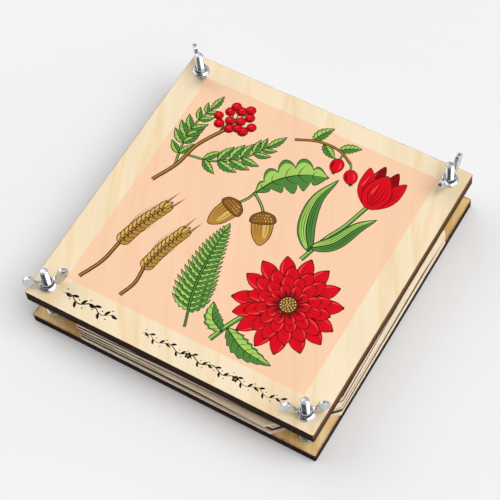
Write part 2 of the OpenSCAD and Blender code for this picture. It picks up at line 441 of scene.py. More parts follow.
def paper(name, light, dark, fibre_mm, bump_mm):
    """Soft paper with fibres and slight mottling."""
    shader = Shader(name, Roughness=0.9, Specular_IOR_Level=0.2)
    mottle = shader.noise((5, 5, 5))
    fibres = shader.noise((fibre_mm, fibre_mm, fibre_mm * 0.6), detail=4.0, roughness=0.7, distortion=0.8)
    colour = shader.mix(shader.ramp(mottle, (0.35, 0.0), (0.7, 1.0)), light, dark)
    return shader.finish(shader.times(colour, shader.ramp(fibres, (0.3, 0.9), (0.65, 1.0))), fibres, bump_mm, 0.6)


# Print: plant motifs in ink on a peach panel, and a fine ornament below it
PANEL = ((-74.5, -71.7), (74.5, 78.3))
INKS = {
    "peach": (252, 208, 172),
    "line": (24, 14, 12),
    "red": (222, 8, 26),
    "deep_red": (140, 2, 14),
    "rose": (242, 74, 70),
    "green": (82, 134, 60),
    "deep_green": (26, 60, 28),
    "lime": (170, 208, 98),
    "ochre": (190, 138, 58),
    "deep_ochre": (130, 84, 32),
    "straw": (222, 182, 100),
}
# Inks of a leaf or a stem: rim, body, lit side, veins
GREENS = ("line", "green", "lime", "deep_green")
WOOD = ("line", "deep_ochre", "ochre", "line")
GRAIN = ("line", "ochre", "straw", "deep_ochre")


def polar(length, angle_deg):
    return cmath.rect(length, radians(angle_deg))


def spline(knots, count):
    """Smooth open line through the knots, as count + 1 points."""
    ends = [2 * knots[0] - knots[1], *knots, 2 * knots[-1] - knots[-2]]
    line = []
    for i in range(count + 1):
        place = min(i * (len(knots) - 1) / count, len(knots) - 1 - 1e-9)
        j, t = int(place), place - int(place)
        a, b, c, d = ends[j:j + 4]
        line.append((2 * b + (c - a) * t + (2 * a - 5 * b + 4 * c - d) * t ** 2 + (3 * b - a - 3 * c + d) * t ** 3) / 2)
    return line


def curve(start, count, *steps):
    """Smooth open line from a start through places counted from it."""
    return spline([start, *[start + step for step in steps]], count)


def blob(start, way, knots, count):
    """Smooth closed line through knots laid along a way from a start."""
    laid = [start + knot * way for knot in knots]
    return spline([*laid[-2:], *laid, *laid[:2]], count * (len(laid) + 3))[2 * count:-2 * count - 1 + count]


def along(start, angle_deg, length, bend_deg=0.0, count=12):
    """Line from a start at an angle, bending evenly on its way."""
    line, way = [start], polar(length / count, angle_deg)
    for k in range(count):
        line.append(line[-1] + way * polar(1, bend_deg * (k + 0.5) / count))
    return line


def direction(line, i):
    """Unit vector along a line at its point i."""
    way = line[min(i + 1, len(line) - 1)] - line[max(i - 1, 0)]
    return way / abs(way)


def bearing(line, i):
    """Angle of a line at its point i, in degrees."""
    return degrees(cmath.phase(direction(line, i)))


def beside(line, left, right):
    """Points along both sides of a line, at left and right distances."""
    across = [1j * direction(line, i) for i in range(len(line))]
    return ([p + way * reach for p, way, reach in zip(line, across, left)]
            + [p - way * reach for p, way, reach in zip(line, across, right)][::-1])


def swing(k):
    """A repeatable number from -1 to 1, for a hand drawing's unevenness."""
    return sin(k * 12.9898 + 4.1) * cos(k * 4.714)


class Artwork:
    """Closed ink shapes in painting order, drawn in millimetres as complex numbers."""

    def __init__(self):
        self.shapes = []

    def fill(self, ink, points):
        self.shapes.append((ink, points))

    def band(self, ink, line, half):
        self.fill(ink, beside(line, half, half))

    def rimmed(self, ink, shape):
        """Fill a shape inside an inked rim. Returns its middle."""
        middle = sum(shape) / len(shape)
        self.fill("line", [p + (p - middle) / abs(p - middle) * 0.4 for p in shape])
        self.fill(ink, shape)
        return middle

    def stroke(self, ink, line, width, start, end=0.1):
        """Line that swells from its start and thins towards its end."""
        half = []
        for i in range(len(line)):
            t = i / (len(line) - 1)
            half.append(width / 2 * min(1, start + (1 - start) * t / 0.3) * min(1, end + (1 - end) * (1 - t) / 0.5))
        self.band(ink, line, half)

    def stem(self, line, width, inks=GREENS):
        half = width / 2
        for ink, left, right in zip(inks, (half + 0.35, half, half * 0.7), (half + 0.35, half, 0.02)):
            self.fill(ink, beside(line, [left] * len(line), [right] * len(line)))

    def leaf(self, line, width, teeth=0, inks=GREENS, veins=5, rim=0.4, fullest=0.42, depth=0.3, lobed=False):
        """Leaf along a line, with an inked rim, a lit half, a midrib and side veins."""
        power = log(0.5) / log(fullest)
        count = len(line) - 1

        def half(t):
            swell = max(0.0, sin(pi * min(1, t) ** power)) ** 0.85
            if teeth:
                phase = t * teeth % 1
                wave = sin(pi * phase) ** 0.7 if lobed else phase
                swell *= 1 - depth + depth * wave * 1.3
            return width / 2 * swell

        whole = [half(i / count) for i in range(count + 1)]
        stretched = [line[0] - direction(line, 0) * rim, *line[1:-1], line[-1] + direction(line, count) * rim * 2]
        self.band(inks[0], stretched, [rim, *[w + rim for w in whole[1:-1]], 0.05])
        self.band(inks[1], line, [w + 0.01 for w in whole])
        self.fill(inks[2], beside(line[1:-1], [w * 0.8 for w in whole[1:-1]], [0.02] * (count - 1)))
        for k in range(veins):
            t = 0.12 + 0.68 * k / max(1, veins - 1)
            i = int(t * count)
            root, way = line[i], direction(line, i)
            for side in (1, -1):
                reach = half(min(1, t + 0.1)) * (0.68 if lobed else 0.86)
                tip = root + way * reach * 0.9 + side * 1j * way * reach
                middle = root + way * reach * 0.3 + side * 1j * way * reach * 0.55
                self.stroke(inks[3], spline([root, middle, tip], 4), min(0.34, width * 0.05), 1.0)
        self.stroke(inks[3], line[:count], min(0.62, width * 0.09), 1.0, 0.15)

    def disc(self, ink, centre, radius, count=16, squash=1.0, turn_deg=0.0):
        ring = [cmath.rect(radius, 2 * pi * k / count) for k in range(count)]
        self.fill(ink, [centre + polar(1, turn_deg) * complex(p.real, p.imag * squash) for p in ring])


def dahlia(art, centre, radius):
    rings = [(15, 1.0, 0.29, 0.0), (14, 0.8, 0.26, 0.4), (12, 0.6, 0.23, 0.15), (10, 0.42, 0.19, 0.5)]
    for number, (count, reach, breadth, shift) in enumerate(rings):
        for k in range(count):
            turn = 360 * (k + shift) / count + 3 * swing(k + 9 * number)
            length = radius * reach * (1 + 0.04 * swing(3 * k + number))
            base = centre + polar(radius * 0.1, turn)
            line = along(base, turn, length - radius * 0.1, 8 * swing(k * 5 + number))
            half = [radius * breadth / 2 * max(0.08, sin(pi * (i / 12) ** 1.9) ** 0.72) for i in range(12)]
            half.append(0.05)
            art.band("line", [*line[:-1], line[-1] + (line[-1] - line[-2]) * 0.3], [w + 0.36 for w in half])
            art.band("red", line, half)
            art.band("deep_red", line[:8], [w * (0.85 - 0.1 * i) for i, w in enumerate(half[:8])])
            across = 1j * (line[-1] - line[0]) / abs(line[-1] - line[0])
            for share, end in ((-0.55, 9), (-0.2, 11), (0.2, 11), (0.55, 9)):
                art.stroke("line", [p + across * share * w for p, w in zip(line[3:end], half[3:end])], 0.3, 0.6)
            art.stroke("rose", [p + across * 0.72 * w for p, w in zip(line[6:12], half[6:12])], 0.75, 0.2, 0.2)
    art.disc("line", centre, radius * 0.185, 24)
    art.disc("deep_ochre", centre, radius * 0.165, 24)
    for ring, (count, reach) in enumerate([(14, 0.135), (9, 0.09), (5, 0.045), (1, 0.0)]):
        for k in range(count):
            spot = centre + polar(radius * reach, 360 * (k + 0.5 * ring) / count)
            art.disc("line", spot, radius * 0.026, 8)
            art.disc("straw", spot + 0.1j, radius * 0.018, 8)


def leaflets(art, line, pairs, length, width, teeth):
    count = len(line) - 1
    art.stem(line, 0.7)

    def leaflet(i, turn_deg, size, breadth, bend_deg):
        blade = along(line[i], bearing(line, i) + turn_deg, length * size, bend_deg, 4 * teeth)
        art.leaf(blade, width * breadth, teeth, veins=4, rim=0.34, depth=0.22)

    for k in range(pairs):
        place = 0.24 + 0.7 * k / (pairs - 1)
        size = 1 - 0.45 * abs(place - 0.45) / 0.55
        for side in (1, -1):
            leaflet(int(place * count), side * (52 + 5 * swing(k + side)), size, size, -side * 22)
    leaflet(count, 0, 0.9, 0.85, 6)


def berry(art, spot, radius, turn_deg):
    art.disc("line", spot, radius + 0.34, 18)
    art.disc("red", spot, radius, 18)
    art.fill("deep_red", [spot + polar(radius * 0.94, a) for a in range(200, 341, 20)]
             + [spot + polar(radius * 0.5, a) for a in range(330, 209, -20)])
    art.disc("rose", spot + polar(radius * 0.45, 125), radius * 0.26, 10, 0.6, 35)
    art.disc("line", spot + polar(radius * 0.62, turn_deg), 0.34, 6)


def rowan(art, root):
    twig = curve(root, 20, 6 + 13j, 9 + 27j, 17 + 42j)
    leaflets(art, curve(twig[10], 24, 14 + 3j, 26 + 12j, 33 + 22j), 6, 11.5, 5.0, 5)
    leaflets(art, curve(twig[6], 24, -3 + 12j, -4 + 24j, -1 + 37j), 6, 10.0, 4.6, 5)
    top = twig[-1]
    spots = [-7.5 + 5j, -3.5 + 9.5j, 1.5 + 12j, 7 + 10.5j, 10.5 + 6j, -5 + 1j, -1 + 4.8j, 4 + 6.6j, 7.8 + 2j,
             1 + 0.6j, 4.6 + 2.4j, -2.2 + 13.4j, 5.2 + 14.6j]
    for spot in spots:
        for ink, width in (("line", 0.75), ("green", 0.35)):
            art.stroke(ink, spline([twig[-3], top + spot * 0.35, top + spot], 6), width, 1.0, 0.8)
    art.stem(twig, 1.5, WOOD)
    for k, spot in enumerate(spots):
        berry(art, top + spot, 2.35 + 0.2 * swing(k), 300 + 50 * swing(k + 3))


def rose_hips(art, root):
    twig = curve(root, 24, 13 + 5j, 26 + 5j, 36)
    for i, turn, length in ((6, 56, 14), (10, -50, 12), (16, 58, 12.5)):
        blade = along(twig[i], bearing(twig, i) + turn, length, -turn * 0.5, 24)
        art.leaf(blade, length * 0.5, 6, rim=0.34, depth=0.22)
    art.stem(twig, 1.1, WOOD)
    hip = (0.4 - 1.6j, 3.2 - 3.7j, 6.6 - 3.3j, 9.0 - 1.2j, 9.0 + 1.2j, 6.6 + 3.3j, 3.2 + 3.7j, 0.4 + 1.6j)
    for end, turn in ((twig[-1], -62), (twig[18], -84)):
        way = polar(1, turn)
        neck = end + way * 4
        art.stem([end, end + way * 2 + 0.3, neck], 0.7)
        art.fill("line", blob(neck - way * 0.36, way * 1.09, hip, 4))
        art.fill("red", blob(neck, way, hip, 4))
        art.fill("deep_red", blob(neck, way, (1.6 - 2.3j, 4.0 - 3.2j, 7.2 - 2.5j, 5.6 - 1.9j, 3.4 - 2.0j), 4))
        art.stroke("rose", spline([neck + p * way for p in (2.2 + 1.6j, 4.6 + 2.1j, 6.8 + 1.5j)], 6), 0.9, 0.2, 0.2)
        for spread in (-34, -12, 12, 34):
            art.stroke("line", along(neck + way * 8.8, turn + spread, 2.4, 0, 4), 0.5, 1.0, 0.2)


def tulip(art, foot, head):
    art.stem(spline([foot - 1 - 4j, foot + 4 + 12j, head - 5 - 16j, head + 1j], 24), 1.8)
    for blade, width in ((curve(foot + 2j, 24, -8 + 12j, -11 + 28j, -7 + 43j), 8.5),
                         (curve(foot + 4j, 24, 9 + 8j, 15 + 21j, 21 + 29j), 7.5)):
        art.leaf(blade, width, veins=0, fullest=0.35)
        half = [width / 2 * sin(pi * (i / 24) ** 0.66) for i in range(25)]
        for share in (-0.62, -0.34, 0.3, 0.6):
            art.stroke("deep_green", beside(blade, [share * w for w in half], half)[3:21], 0.34, 0.4)
    petals = (("deep_red", (-5 + 3j, -8.2 + 10j, -6.6 + 18j, -3.6 + 24j, -0.6 + 17j, 0.5 + 6j)),
              ("deep_red", (5 + 3j, 8.2 + 10j, 6.8 + 18j, 4.0 + 23.4j, 0.8 + 17j, -0.5 + 6j)),
              ("red", (-2.5 - 0.6j, -8.6 + 4j, -11.2 + 11.5j, -10.2 + 20j, -4.6 + 14.5j, -1.2 + 6j)),
              ("red", (2.5 - 0.6j, 8.6 + 4j, 11.4 + 11.5j, 10.6 + 19.4j, 4.8 + 14.2j, 1.2 + 6j)),
              ("red", (-3 - 0.8j, -6.6 + 5j, -6.2 + 11.6j, 0.2 + 19.6j, 6.4 + 11.4j, 6.6 + 5j, 3 - 0.8j)))
    for ink, knots in petals:
        shape = blob(head, 1, knots, 5)
        middle = art.rimmed(ink, shape)
        top = max(shape, key=lambda p: p.imag)
        breadth = max(p.real for p in shape) - min(p.real for p in shape)
        off = middle.real - head.real
        low = head + 0.5j + (copysign(1.5, off) if abs(off) > 2 else 0)
        for k, share in enumerate((-0.7, -0.42, -0.14, 0.14, 0.42, 0.7)):
            spread = share * breadth * 0.5
            tip = low + (top - low) * (0.86 - 0.3 * abs(share)) + spread * 0.8
            vein = spline([low + spread * 0.25, low + (tip - low) * 0.5 + spread * 0.5, tip], 6)
            art.stroke("line" if k % 2 else "deep_red", vein, 0.32 if k % 2 else 0.6, 0.8)
        gleam = middle - 2.4 + 2j
        art.stroke("rose", spline([gleam - 0.4 - 3j, gleam, gleam + 0.6 + 4.4j], 6), 0.9, 0.2, 0.2)


def wheat(art, foot, neck, tip):
    art.stem(spline([foot, (foot + neck) / 2 + 1.5, neck], 16), 1.1, WOOD)
    ear = spline([neck, (neck + tip) / 2 - 0.8, tip], 22)
    ways = [degrees(cmath.phase(after - before)) for before, after in zip(ear, ear[1:])]
    for i in range(1, 23):
        for side in (1, -1):
            if i % 2 == (side > 0) or i > 19:
                base = ear[i - 1] + polar(0.9, ways[i - 1] + side * 90)
                awn = along(base, ways[i - 1] + side * (18 - i * 0.4), 15 - 0.2 * i + swing(i), -side * 8, 5)
                art.stroke("deep_ochre", awn, 0.32, 1.0)
    for i in range(0, 22, 2):
        for side in (1, -1, 0):
            base = ear[i + (side == 0)] + polar(0.5 * abs(side), ways[i] + side * 90)
            grain = along(base, ways[i] + side * 32, 5.2 - 0.05 * i, -side * 16, 10)
            art.leaf(grain, 2.7, 0, GRAIN, veins=0, rim=0.3, fullest=0.45)


def fern(art, foot, tip):
    rib = spline([foot, foot * 0.66 + tip * 0.34 - 3, foot * 0.3 + tip * 0.7 - 2.5, tip], 60)
    for k in range(17):
        place = 0.16 + 0.8 * k / 16
        i = int(place * 60)
        length = 15 * (1 - place) ** 0.75 * min(1.0, 0.55 + place * 1.6) + 1.2
        count, teeth = (16, 4) if length > 5 else (8, 0)
        for side in (1, -1):
            blade = along(rib[i + (side > 0)], bearing(rib, i) + side * 66, length, -side * 26, count)
            art.leaf(blade, 1.6 + length * 0.16, teeth, veins=0, rim=0.3, fullest=0.3, depth=0.5, lobed=True)
    art.leaf(along(rib[58], bearing(rib, 59), 4.2), 2.4, veins=0, rim=0.3)
    art.stroke("line", rib, 1.5, 1.0, 0.2)
    art.stroke("green", rib, 0.8, 1.0)


def oak(art, hub):
    art.leaf(curve(hub, 50, 5 + 10j, 14 + 18j, 25 + 22j), 16, 5, fullest=0.56, depth=0.46, lobed=True)
    kernel = (3 - 4.1j, 8 - 4.5j, 13 - 3.1j, 16.2 - 0.2j, 13 + 3.1j, 8 + 4.5j, 3 + 4.1j)
    cup = (-0.6 - 1.2j, 1.2 - 4.8j, 4.6 - 5.4j, 5.4, 4.6 + 5.4j, 1.2 + 4.8j, -0.6 + 1.2j)
    for nut, turn in ((hub - 4 - 8j, -112), (hub + 9 - 7.5j, -66)):
        way = polar(1, turn)
        art.stem(spline([hub, (hub + nut) / 2 + 0.8, nut], 8), 0.7)
        art.rimmed("ochre", blob(nut, way, kernel, 4))
        art.fill("straw", blob(nut, way, (5 + 0.6j, 9 + 0.4j, 12.6 + 1j, 12 + 2.2j, 8.6 + 3j, 5 + 2.8j), 3))
        for share in (-3.2, -1.8, -0.4, 2.0, 3.4):
            art.stroke("deep_ochre", [nut + complex(x, share * (1 - max(0, x - 7) ** 2 / 75)) * way
                                      for x in (4.5, 6.5, 8.5, 10.5, 12.5)], 0.3, 1.0)
        art.rimmed("deep_ochre", blob(nut, way, cup, 4))
        for row, (x, reach) in enumerate([(1.0, 3.0), (2.4, 4.2), (3.8, 4.6)]):
            for k in range(5 + row):
                y = reach * (2 * (k + 0.5) / (5 + row) - 1)
                art.disc("straw" if y > 0 else "ochre", nut + complex(x, y * 0.98) * way, 0.5, 6, 0.7, turn)


def sprig(art, start, end, leaves, size, flowers=()):
    span = end - start
    line = [start + span * k / 60 + 1j * size * 0.35 * sin(2 * pi * k / 60 * leaves / 4) for k in range(61)]
    art.stroke("line", line, size * 0.16, 0.3, 0.3)
    half = [size * 0.19 * sin(pi * t / 8) ** 0.8 + 0.02 for t in range(9)]
    for k in range(leaves):
        i = int(60 * (k + 0.5) / leaves)
        side = 1 if k % 2 else -1
        way = bearing(line, i)
        art.band("line", along(line[i], way + side * 48, size, -side * 24, 8), half)
        art.disc("line", line[i] + polar(size * 0.55, way - side * 70), size * 0.1, 8)
    for spot in flowers:
        for k in range(5):
            art.disc("line", start + spot + cmath.rect(size * 0.36, 2 * pi * k / 5 + 0.3), size * 0.22, 10)
        art.disc("ochre", start + spot, size * 0.14, 8)


def placed(art, scale, shift, draw, *places):
    """Add a motif, enlarged and then shifted."""
    motif = Artwork()
    draw(motif, *places)
    art.shapes += [(ink, [p * scale + shift for p in points]) for ink, points in motif.shapes]


def artwork():
    art = Artwork()
    placed(art, 1.12, 0, fern, -1.5 - 60j, -11.5 - 3j)
    placed(art, 1.35, 0, wheat, -51 - 50j, -45 - 29j, -37 - 5.5j)
    placed(art, 1.3, 0, wheat, -33 - 51.5j, -31 - 36j, -25 - 13j)
    art.stem(spline([14 - 67j, 20 - 52j, 32 - 30j], 12), 2.4)
    art.leaf(spline([17 - 60j, 9 - 55.5j, 4.5 - 47j], 30), 10, 6, depth=0.22)
    art.leaf(spline([19 - 57j, 33 - 64j, 50 - 65.5j], 36), 11, 7, veins=6, depth=0.22)
    dahlia(art, 40.5 - 29.5j, 29.5)
    placed(art, 1.16, 10 - 5j, rowan, -66 + 8j)
    placed(art, 1.1, 3 - 2j, tulip, 28 + 4j, 42 + 43j)
    placed(art, 1.25, 4 - 0.5j, oak, -12 + 19j)
    rose_hips(art, -9 + 64.5j)
    sprig(art, -71 - 80.6j, -38 - 80.6j, 9, 4.4)
    sprig(art, -20 - 80.8j, 68 - 80.8j, 26, 3.4, (29, 58))
    return art


def printed_face(outline, holes, z, first):
    """Vertices, triangles and material numbers of a printed face: 0 for bare wood, then the inks in order."""
    (left, front), (right, back) = PANEL
    panel = [(left, front), (right, front), (right, back), (left, back)]
    order = {ink: first + k for k, ink in enumerate(INKS)}
    rings = [outline, *holes, panel]
    inks = [0] + [None] * len(holes) + [order["peach"]]
    for ink, points in artwork().shapes:
        rings.append([(p.real, p.imag) for p in points])
        inks.append(order[ink])
    places, triangles = triangulated(rings, 1e-4)
    kept, numbers = [], []
    for triangle, owner in triangles:
        if 0 in owner and not any(0 < shape <= len(holes) for shape in owner):
            kept.append(triangle)
            numbers.append(inks[max(owner)])
    return [(*place, z) for place in places], kept, numbers


# Boards
BOARD_CORNER = 1.0
ARC_STEPS, SIDE_STEP = 6, 4.0
BEVEL = 0.18
GLUE_LINE = 0.07
GLUE_DEPTH = 0.05
HOLE_RADIUS, HOLE_SEGMENTS = 2.75, 40
# Radii and heights of a through hole's mouth and of a sunk one, above the board's underside
PLAIN_MOUTH = ((HOLE_RADIUS, BEVEL), (HOLE_RADIUS + BEVEL, 0.0))
SUNK_MOUTH = ((HOLE_RADIUS, 2.7), (2.55, 2.58), (4.65, 0.5), (4.65, 0.0))


def side_rings(low, high, half, plies):
    """Rings up a board's cut side, drawn in a little at each glue line."""
    levels = [(low, BEVEL), (low + BEVEL, 0.0)]
    for k in range(1, plies):
        z = low + k * (high - low) / plies
        levels += [(z - GLUE_LINE, 0.0), (z, GLUE_DEPTH), (z + GLUE_LINE, 0.0)]
    levels += [(high - BEVEL, 0.0), (high, BEVEL)]
    return [rounded_square(half - inset, BOARD_CORNER - inset, z) for z, inset in levels]


def board_form(node, plies, mouth):
    """Board without its top face, its foot and top heights, half width, and the rings of its top face."""
    low, high = box_mm(node)
    half = (high.x - low.x) / 2
    form = Form()
    rings = side_rings(low.z, high.z, half, plies)
    form.loft(rings, 1)
    wall = [(HOLE_RADIUS + BEVEL, high.z), (HOLE_RADIUS, high.z - BEVEL)] + [(r, low.z + z) for r, z in mouth]
    walls = [revolved(wall, HOLE_SEGMENTS, axis_of("bolt_" + corner)) for corner in CORNERS]
    for hole in walls:
        form.loft(hole, 1)
    form.flat(rings[0], [hole[-1] for hole in walls])
    return form, low.z, high.z, half, rings[-1], [hole[0] for hole in walls]


def add_boards():
    form, low, high, half, outline, holes = board_form("bottom_board", 3, SUNK_MOUTH)
    form.flat(outline, holes)
    face = veneer("veneer_base", srgb(244, 216, 166), srgb(233, 200, 140), srgb(160, 112, 64), 1.4, half, 0.9)
    # The last colours are painted light: the lit right side's brown, from foot to top.
    edge = burnt_edge("burnt_edge_base", 3, low, high, half, (srgb(58, 40, 28), srgb(80, 57, 40)))
    form.piece("base_board", [face, edge], "base", "plywood_base", "bottom_board")
    form, low, high, half, outline, holes = board_form("top_board", 5, PLAIN_MOUTH)
    form.add(*printed_face(outline, holes, high, 2))
    face = veneer("veneer_lid", srgb(250, 230, 195), srgb(245, 222, 183), srgb(196, 140, 84), 0.4, half)
    # The last colours are painted light: the lit right side's brown, from foot to top.
    edge = burnt_edge("burnt_edge_lid", 5, low, high, half, (srgb(88, 60, 40), srgb(148, 100, 64)))
    inks = [printed_ink("ink_" + ink, srgb(*colour)) for ink, colour in INKS.items()]
    form.piece("lid_board", [face, edge, *inks], "lid", "plywood_top", "top_board")


# Bolts with a thread, a countersunk head and a cross recess
PITCH = 0.8
THREAD_DEPTH = 0.46
THREAD_SEGMENTS = 32
# One turn of the thread: shares of the pitch and of the depth
THREAD_STEPS = ((0.0, 0.0), (0.1, 0.0), (0.45, 1.0), (0.65, 1.0))
TIP_CHAMFER = 0.6
POINT_HEIGHT, POINT_RADIUS, DOME_HEIGHT = 0.35, 1.7, 0.035
SHANK_RADIUS = 2.45
HEAD_RADIUS, HEAD_RIM, HEAD_BAND, HEAD_HEIGHT = 4.6, 0.08, 0.3, 2.4
# Heights above the head at which the plain shank ends and the thread begins
SHANK_END, THREAD_START = 0.6, 1.0
CROSS_LENGTH, CROSS_WIDTH, CROSS_DEPTH = 5.0, 1.2, 1.8


def add_thread(form, centre, low, high):
    """Right-hand helical skin. Rows past an end fall onto a plain ring there."""
    root, count, per_turn = SHANK_RADIUS - THREAD_DEPTH, THREAD_SEGMENTS, len(THREAD_STEPS)
    rows = [(turn + share, depth) for turn in range(-1, ceil((high - low) / PITCH) + 1)
            for share, depth in THREAD_STEPS]
    verts, faces = [], []
    for start, depth in rows:
        for k in range(count):
            angle, z = 2 * pi * k / count, low + (start + k / count) * PITCH
            if low < z < high:
                r = min(SHANK_RADIUS - THREAD_DEPTH * depth, root + THREAD_DEPTH * min(1.0, (high - z) / TIP_CHAMFER))
            else:
                z, r = min(max(z, low), high), root
            verts.append(around(centre, r, angle, z))
    for row in range(len(rows) - 1):
        for k in range(count):
            a = row * count + k
            if k + 1 < count:
                faces.append((a, a + 1, a + 1 + count, a + count))
            elif row + 1 + per_turn < len(rows):
                b = (row + per_turn) * count
                faces.append((a, b, b + count, a + count))
    form.add(verts, faces)


def add_bolt(corner, material):
    node = "bolt_" + corner
    low, high = box_mm(node)
    centre = axis_of(node)
    form = Form()
    minor = SHANK_RADIUS - THREAD_DEPTH
    neck = low.z + HEAD_HEIGHT
    head = revolved([(HEAD_RADIUS - HEAD_RIM, low.z), (HEAD_RADIUS, low.z + HEAD_RIM),
                     (HEAD_RADIUS, low.z + HEAD_BAND), (SHANK_RADIUS, neck), (SHANK_RADIUS, neck + SHANK_END),
                     (minor, neck + THREAD_START)], THREAD_SEGMENTS, centre)
    form.loft(head)
    a, b = CROSS_LENGTH / 2, CROSS_WIDTH / 2
    cross = [(a, -b), (a, b), (b, b), (b, a), (-b, a), (-b, b), (-a, b), (-a, -b), (-b, -b), (-b, -a), (b, -a), (b, -b)]
    mouth, floor = [[(centre[0] + x, centre[1] + y, low.z + depth) for x, y in cross] for depth in (0, CROSS_DEPTH)]
    form.flat(head[0], [mouth])
    form.loft([mouth, floor])
    form.flat(floor, [])
    add_thread(form, centre, neck + THREAD_START, high.z - POINT_HEIGHT)
    point = [(minor, POINT_HEIGHT), (POINT_RADIUS, DOME_HEIGHT), (POINT_RADIUS * 0.7, DOME_HEIGHT * 0.5),
             (POINT_RADIUS * 0.35, DOME_HEIGHT * 0.12), (0.05, 0.0)]
    form.loft(revolved([(r, high.z - z) for r, z in point], THREAD_SEGMENTS, centre), ends=(False, True))
    form.piece("threaded_bolt_" + corner, [material], "base", "bolt_zinc", node, 50)


# Washers and lock nuts
WASHER_BORE, WASHER_RIM = 2.62, 0.16
NUT_BORE, NUT_CHAMFER, NUT_FLATS, NUT_SEGMENTS = 2.56, 0.35, 8.0, 72
ROUND_SEGMENTS = 64


def add_washer(name, node, body, material):
    low, high = box_mm(node)
    outer, inner, rim = (high.x - low.x) / 2, WASHER_BORE, WASHER_RIM
    profile = [(inner + rim, low.z), (outer - rim, low.z), (outer, low.z + rim), (outer, high.z - rim * 1.4),
               (outer - rim * 0.6, high.z - rim * 0.4), (outer - rim * 1.6, high.z), (inner + rim, high.z),
               (inner, high.z - rim), (inner, low.z + rim)]
    form = Form()
    form.loft(looped(revolved(profile, ROUND_SEGMENTS, axis_of(node))))
    form.piece(name, [material], body, "washer_zinc", node, 40)


def add_lock_nut(corner, material):
    node = "lock_nut_" + corner
    low, high = box_mm(node)
    centre = axis_of("bolt_" + corner)
    half = NUT_FLATS / 2

    def ring(z, limit):
        """Hexagon cut to a circle of the limit's radius."""
        points = []
        for k in range(NUT_SEGMENTS):
            angle = 2 * pi * k / NUT_SEGMENTS
            points.append(around(centre, min(half / cos(angle % (pi / 3) - pi / 6), limit), angle, z))
        return points

    chamfer = [(0.12 * k, half - 0.15 + 0.21 * k) for k in range(4)] + [(0.48, half / cos(pi / 6))]
    bore = [(NUT_BORE + NUT_CHAMFER, high.z), (NUT_BORE, high.z - NUT_CHAMFER), (NUT_BORE, low.z + NUT_CHAMFER),
            (NUT_BORE + NUT_CHAMFER, low.z)]
    rings = [ring(low.z + z, limit) for z, limit in chamfer]
    rings += [ring(high.z - z, limit) for z, limit in reversed(chamfer)]
    form = Form()
    form.loft(looped(rings + revolved(bore, NUT_SEGMENTS, centre)))
    form.piece("hex_nut_" + corner, [material], "base", "lock_nut_zinc", node, 30)


# Wing nuts, cast as one with soft corners
WING_VOXEL = 0.13
WING_SPAN, WING_HEIGHT, WING_MIDDLE = 25.6, 11.6, 7.9
BARREL = ((2.75, 0.0), (4.6, 0.0), (4.8, 0.15), (4.8, 0.5), (4.65, 0.75), (3.8, 1.15), (3.6, 1.4), (3.5, 2.0),
          (3.45, 3.85), (3.3, 4.2), (3.05, 4.2), (2.75, 3.7))
# Painted shade on the wing nut's barrel: largest radius, and two heights above the seat
PAINTED_BARREL_SHADE = (3.72, 1.2, 3.9)
# Outline of one wing in its own plane, as shares of half the span and of the height
WING = ((0.25, 0.08), (0.56, 0.08), (0.70, 0.17), (0.815, 0.31), (0.91, 0.48), (0.98, 0.66), (1.0, 0.79), (0.955, 0.9),
        (0.85, 0.97), (0.72, 1.0), (0.625, 0.98), (0.555, 0.905), (0.49, 0.74), (0.43, 0.535), (0.375, 0.4),
        (0.26, 0.35))
# Layers through one wing: distance off its middle, and how far its outline draws in
WING_LAYERS = ((-1.1, 0.22), (-0.92, 0.0), (0.92, 0.0), (1.1, 0.22))


def wing_nut_mesh(material):
    form = Form()
    form.loft(looped(revolved(BARREL, ROUND_SEGMENTS)))
    outline = blob(0, 1, [complex(x * WING_SPAN / 2, z * WING_HEIGHT) for x, z in WING], 4)
    centre = complex(WING_MIDDLE, WING_HEIGHT / 2)
    for side in (1, -1):
        rings = []
        for y, inset in WING_LAYERS:
            ring = [p - (p - centre) / abs(p - centre) * inset for p in outline]
            rings.append([(side * p.real, side * y, p.imag) for p in ring])
        form.loft(rings, ends=(True, True))
    rough = add_object("wing_nut_rough", form.mesh("wing_nut_rough", []))
    remesh = rough.modifiers.new("fuse", "REMESH")
    remesh.mode = "VOXEL"
    remesh.voxel_size = WING_VOXEL * MM
    smooth = rough.modifiers.new("soften", "SMOOTH")
    smooth.factor = 0.5
    smooth.iterations = 3
    mesh = bpy.data.meshes.new_from_object(rough.evaluated_get(bpy.context.evaluated_depsgraph_get()))
    bpy.data.objects.remove(rough)
    mesh.name = "cast_wing_nut"
    mesh.materials.clear()
    mesh.materials.append(material)
    mesh.shade_smooth()
    return mesh


def add_wing_nut(corner, cast):
    """Set a copy of the cast nut on its seat, with its wings as the solid's lie."""
    node = "wing_nut_" + corner
    low, _ = box_mm(node)
    axis = axis_of("bolt_" + corner)
    off = [complex(*v.co[:2]) / MM - complex(*axis) for v in frame["nodes"][node].data.vertices]
    turn = cmath.phase(sum(p ** 2 for p in off)) / 2
    own = cast.copy()
    own.transform(Matrix.Translation((axis[0] * MM, axis[1] * MM, low.z * MM)) @ Matrix.Rotation(turn, 4, "Z"))
    add_piece("cast_wing_nut_" + corner, own, "nut_" + corner, node)


def add_fasteners():
    bolt = zinc("zinc_bolt", srgb(212, 216, 219), 0.14, 0.1)
    washer = zinc("zinc_washer", srgb(226, 229, 231), 0.16, 0.12)
    # Painted shade: the lock nuts' zinc is tinted darker than the bolts', standing for the shade under the lid.
    nut = zinc("zinc_nut_painted_shade", srgb(198, 202, 206), 0.22, 0.15)
    # The wing nuts' zinc carries the painted shade band on their barrels.
    cast = wing_nut_mesh(zinc("zinc_wing_nut", srgb(212, 216, 220), 0.12, 0.12, True))
    for corner in CORNERS:
        add_bolt(corner, bolt)
        add_washer("lower_washer_" + corner, "base_washer_" + corner, "base", washer)
        add_washer("upper_washer_" + corner, "washer_" + corner, "seat_" + corner, washer)
        add_lock_nut(corner, nut)
    for corner in CORNERS:
        add_wing_nut(corner, cast)


